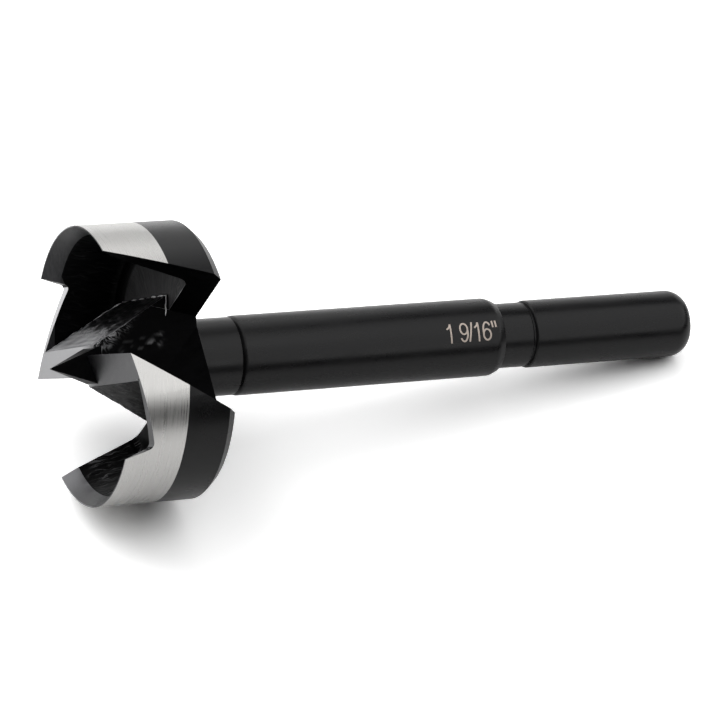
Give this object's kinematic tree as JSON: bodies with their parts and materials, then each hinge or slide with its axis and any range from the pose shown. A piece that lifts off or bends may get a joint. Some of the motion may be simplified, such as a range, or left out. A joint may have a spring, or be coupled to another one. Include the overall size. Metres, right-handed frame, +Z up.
{
  "type": "forstner bit",
  "caption": "Forstner drill bit with a rimmed cutting head, ground lifters, open chip gullets, a centre point and a stepped round shank, lying as it rests on a table.",
  "frame": {"origin": "centre of the bounding box, on the table the bit lies on", "axes": "+X along the tool from the centre point towards the shank, +Z up"},
  "size_m": [0.0994, 0.0396, 0.0416],
  "materials": {
    "tool_steel": "black oxide, with bright ground cutting rim and lands"
  },
  "bodies": {
    "root": {"forstner_bit": "tool_steel"}
  },
  "joints": []
}
